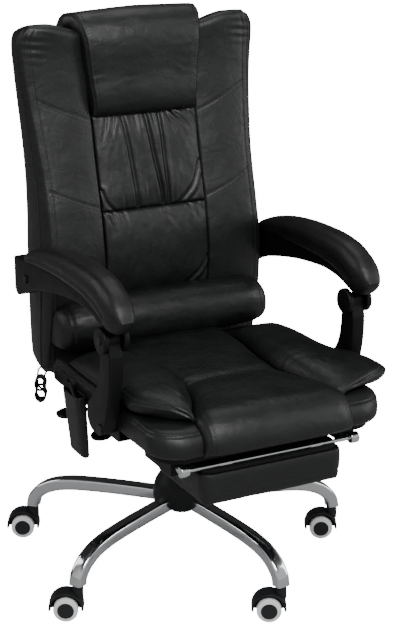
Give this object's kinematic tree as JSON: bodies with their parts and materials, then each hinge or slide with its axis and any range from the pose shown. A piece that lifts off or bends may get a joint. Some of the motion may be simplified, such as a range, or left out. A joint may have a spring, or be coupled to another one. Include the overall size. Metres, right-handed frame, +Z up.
{
  "type": "reclining office chair",
  "caption": "High-backed padded office chair with wing cushions, headrest, reclining back, linked arms, sliding footrest and a castered star base.",
  "frame": {"origin": "on the floor, under the middle of the chair's outline seen from above", "axes": "+Z up, the sitter faces -Y, +X to the sitter's left"},
  "size_m": [0.7092, 0.7634, 1.128],
  "materials": {
    "chrome": "polished chrome plate",
    "black_plastic": "fine grained, satin",
    "black_steel": "black powder coat",
    "bright_steel": "ground rod",
    "pale_tyre": "pale ring with a dark cap",
    "black_leather": "soft grained, low sheen",
    "board": "plywood under a thin lining",
    "black_fabric": "knitted pouch",
    "cord": "smooth sheath"
  },
  "bodies": {
    "base": {"star_base": "chrome", "hub_cover": "black_plastic", "gas_cylinder": "black_steel"},
    "caster_1": {"caster_fork_1": "black_plastic"},
    "wheel_1a": {"caster_wheel_1a": "pale_tyre"},
    "wheel_1b": {"caster_wheel_1b": "pale_tyre"},
    "caster_2": {"caster_fork_2": "black_plastic"},
    "wheel_2a": {"caster_wheel_2a": "pale_tyre"},
    "wheel_2b": {"caster_wheel_2b": "pale_tyre"},
    "caster_3": {"caster_fork_3": "black_plastic"},
    "wheel_3a": {"caster_wheel_3a": "pale_tyre"},
    "wheel_3b": {"caster_wheel_3b": "pale_tyre"},
    "caster_4": {"caster_fork_4": "black_plastic"},
    "wheel_4a": {"caster_wheel_4a": "pale_tyre"},
    "wheel_4b": {"caster_wheel_4b": "pale_tyre"},
    "caster_5": {"caster_fork_5": "black_plastic"},
    "wheel_5a": {"caster_wheel_5a": "pale_tyre"},
    "wheel_5b": {"caster_wheel_5b": "pale_tyre"},
    "lift": {"gas_piston": "bright_steel"},
    "seat": {"tilt_mechanism": "black_steel", "seat_board": "board", "seat_box_cushion": "black_leather", "seat_centre_pad": "black_leather", "seat_bolster_left": "black_leather", "seat_bolster_right": "black_leather", "recline_crossmember": "black_steel", "arm_strap_left": "black_steel", "arm_strap_right": "black_steel", "footrest_guide_left": "black_plastic", "footrest_guide_right": "black_plastic", "remote_pouch": "black_fabric", "remote_handset": "black_plastic", "remote_cord_exit": "cord", "remote_cord_hank": "cord", "remote_cord_lead": "cord"},
    "height_lever": {"height_lever": "black_plastic"},
    "recline_lever": {"recline_lever": "black_plastic"},
    "back": {"back_foot": "black_steel", "back_shell": "black_leather", "back_cushion": "black_leather", "back_gathered_pad": "black_leather", "back_lower_pad": "black_leather", "headrest_pillow": "black_leather", "lumbar_roll": "black_leather", "arm_rear_bolt_left": "black_steel", "arm_rear_bolt_right": "black_steel"},
    "arm_post_left": {"arm_post_left": "black_plastic"},
    "armrest_left": {"armrest_beam_left": "black_plastic", "armrest_pad_left": "black_leather", "knuckle_pin_left": "black_steel"},
    "arm_post_right": {"arm_post_right": "black_plastic"},
    "armrest_right": {"armrest_beam_right": "black_plastic", "armrest_pad_right": "black_leather", "knuckle_pin_right": "black_steel"},
    "footrest_slider": {"footrest_rail_left": "chrome", "footrest_rail_right": "chrome", "footrest_crossbar": "chrome"},
    "footrest": {"footrest_board": "board", "footrest_pad": "black_leather"}
  },
  "joints": [
    {"name": "caster_swivel_1", "type": "hinge", "parent": "base", "child": "caster_1", "pos_m": [0.04836, -0.29149, 0.071], "axis": [0, 0, 1], "continuous": true},
    {"name": "wheel_spin_1a", "type": "hinge", "parent": "caster_1", "child": "wheel_1a", "pos_m": [0.02799, -0.2808, 0.02452], "axis": [-0.4648, -0.8854, 0], "continuous": true},
    {"name": "wheel_spin_1b", "type": "hinge", "parent": "caster_1", "child": "wheel_1b", "pos_m": [0.02799, -0.2808, 0.02452], "axis": [-0.4648, -0.8854, 0], "continuous": true},
    {"name": "caster_swivel_2", "type": "hinge", "parent": "base", "child": "caster_2", "pos_m": [0.33021, -0.01644, 0.071], "axis": [0, 0, 1], "continuous": true},
    {"name": "wheel_spin_2a", "type": "hinge", "parent": "caster_2", "child": "wheel_2a", "pos_m": [0.30985, -0.00575, 0.02452], "axis": [-0.4648, -0.8854, 0], "continuous": true},
    {"name": "wheel_spin_2b", "type": "hinge", "parent": "caster_2", "child": "wheel_2b", "pos_m": [0.30985, -0.00575, 0.02452], "axis": [-0.4648, -0.8854, 0], "continuous": true},
    {"name": "caster_swivel_3", "type": "hinge", "parent": "base", "child": "caster_3", "pos_m": [0.15572, 0.33661, 0.071], "axis": [0, 0, 1], "continuous": true},
    {"name": "wheel_spin_3a", "type": "hinge", "parent": "caster_3", "child": "wheel_3a", "pos_m": [0.13536, 0.3473, 0.02452], "axis": [-0.4648, -0.8854, 0], "continuous": true},
    {"name": "wheel_spin_3b", "type": "hinge", "parent": "caster_3", "child": "wheel_3b", "pos_m": [0.13536, 0.3473, 0.02452], "axis": [-0.4648, -0.8854, 0], "continuous": true},
    {"name": "caster_swivel_4", "type": "hinge", "parent": "base", "child": "caster_4", "pos_m": [-0.23397, 0.27976, 0.071], "axis": [0, 0, 1], "continuous": true},
    {"name": "wheel_spin_4a", "type": "hinge", "parent": "caster_4", "child": "wheel_4a", "pos_m": [-0.25433, 0.29045, 0.02452], "axis": [-0.4648, -0.8854, 0], "continuous": true},
    {"name": "wheel_spin_4b", "type": "hinge", "parent": "caster_4", "child": "wheel_4b", "pos_m": [-0.25433, 0.29045, 0.02452], "axis": [-0.4648, -0.8854, 0], "continuous": true},
    {"name": "caster_swivel_5", "type": "hinge", "parent": "base", "child": "caster_5", "pos_m": [-0.30032, -0.10843, 0.071], "axis": [0, 0, 1], "continuous": true},
    {"name": "wheel_spin_5a", "type": "hinge", "parent": "caster_5", "child": "wheel_5a", "pos_m": [-0.32069, -0.09774, 0.02452], "axis": [-0.4648, -0.8854, 0], "continuous": true},
    {"name": "wheel_spin_5b", "type": "hinge", "parent": "caster_5", "child": "wheel_5b", "pos_m": [-0.32069, -0.09774, 0.02452], "axis": [-0.4648, -0.8854, 0], "continuous": true},
    {"name": "seat_height", "type": "slide", "parent": "base", "child": "lift", "axis": [0, 0, 1], "range_m": [0, 0.08]},
    {"name": "seat_swivel", "type": "hinge", "parent": "lift", "child": "seat", "pos_m": [0, 0.04, 0.35], "axis": [0, 0, 1], "continuous": true},
    {"name": "height_lever_lift", "type": "hinge", "parent": "seat", "child": "height_lever", "pos_m": [-0.058, -0.026, 0.344], "axis": [0, 1, 0], "range_deg": [0, 3.5], "stiffness_Nm_per_rad": 2, "springref_deg": -5.73},
    {"name": "recline_lever_lift", "type": "hinge", "parent": "seat", "child": "recline_lever", "pos_m": [-0.058, 0.088, 0.344], "axis": [0, 1, 0], "range_deg": [0, 3.5], "stiffness_Nm_per_rad": 2, "springref_deg": -5.73},
    {"name": "back_recline", "type": "hinge", "parent": "seat", "child": "back", "pos_m": [0, 0.19, 0.385], "axis": [-1, 0, 0], "range_deg": [0, 40]},
    {"name": "arm_post_swing_left", "type": "hinge", "parent": "seat", "child": "arm_post_left", "pos_m": [0.2585, -0.165, 0.408], "axis": [-1, 0, 0], "range_deg": [0, 48]},
    {"name": "armrest_tilt_left", "type": "hinge", "parent": "arm_post_left", "child": "armrest_left", "pos_m": [0.2585, -0.195, 0.593], "axis": [-1, 0, 0], "range_deg": [-47, 0]},
    {"name": "arm_post_swing_right", "type": "hinge", "parent": "seat", "child": "arm_post_right", "pos_m": [-0.2585, -0.165, 0.408], "axis": [-1, 0, 0], "range_deg": [0, 48]},
    {"name": "armrest_tilt_right", "type": "hinge", "parent": "arm_post_right", "child": "armrest_right", "pos_m": [-0.2585, -0.195, 0.593], "axis": [-1, 0, 0], "range_deg": [-47, 0]},
    {"name": "footrest_slide", "type": "slide", "parent": "seat", "child": "footrest_slider", "axis": [0, -1, 0], "range_m": [0, 0.3]},
    {"name": "footrest_flip", "type": "hinge", "parent": "footrest_slider", "child": "footrest", "pos_m": [0, -0.328, 0.368], "axis": [-1, 0, 0], "range_deg": [0, 180]}
  ],
  "couplings": [
    {"joint": "arm_post_swing_left", "follows": "back_recline", "ratio": 1.188},
    {"joint": "armrest_tilt_left", "follows": "back_recline", "ratio": -1.164},
    {"joint": "arm_post_swing_right", "follows": "back_recline", "ratio": 1.188},
    {"joint": "armrest_tilt_right", "follows": "back_recline", "ratio": -1.164},
    {"joint": "footrest_flip", "follows": "footrest_slide", "rad_per_m": 10.472}
  ]
}
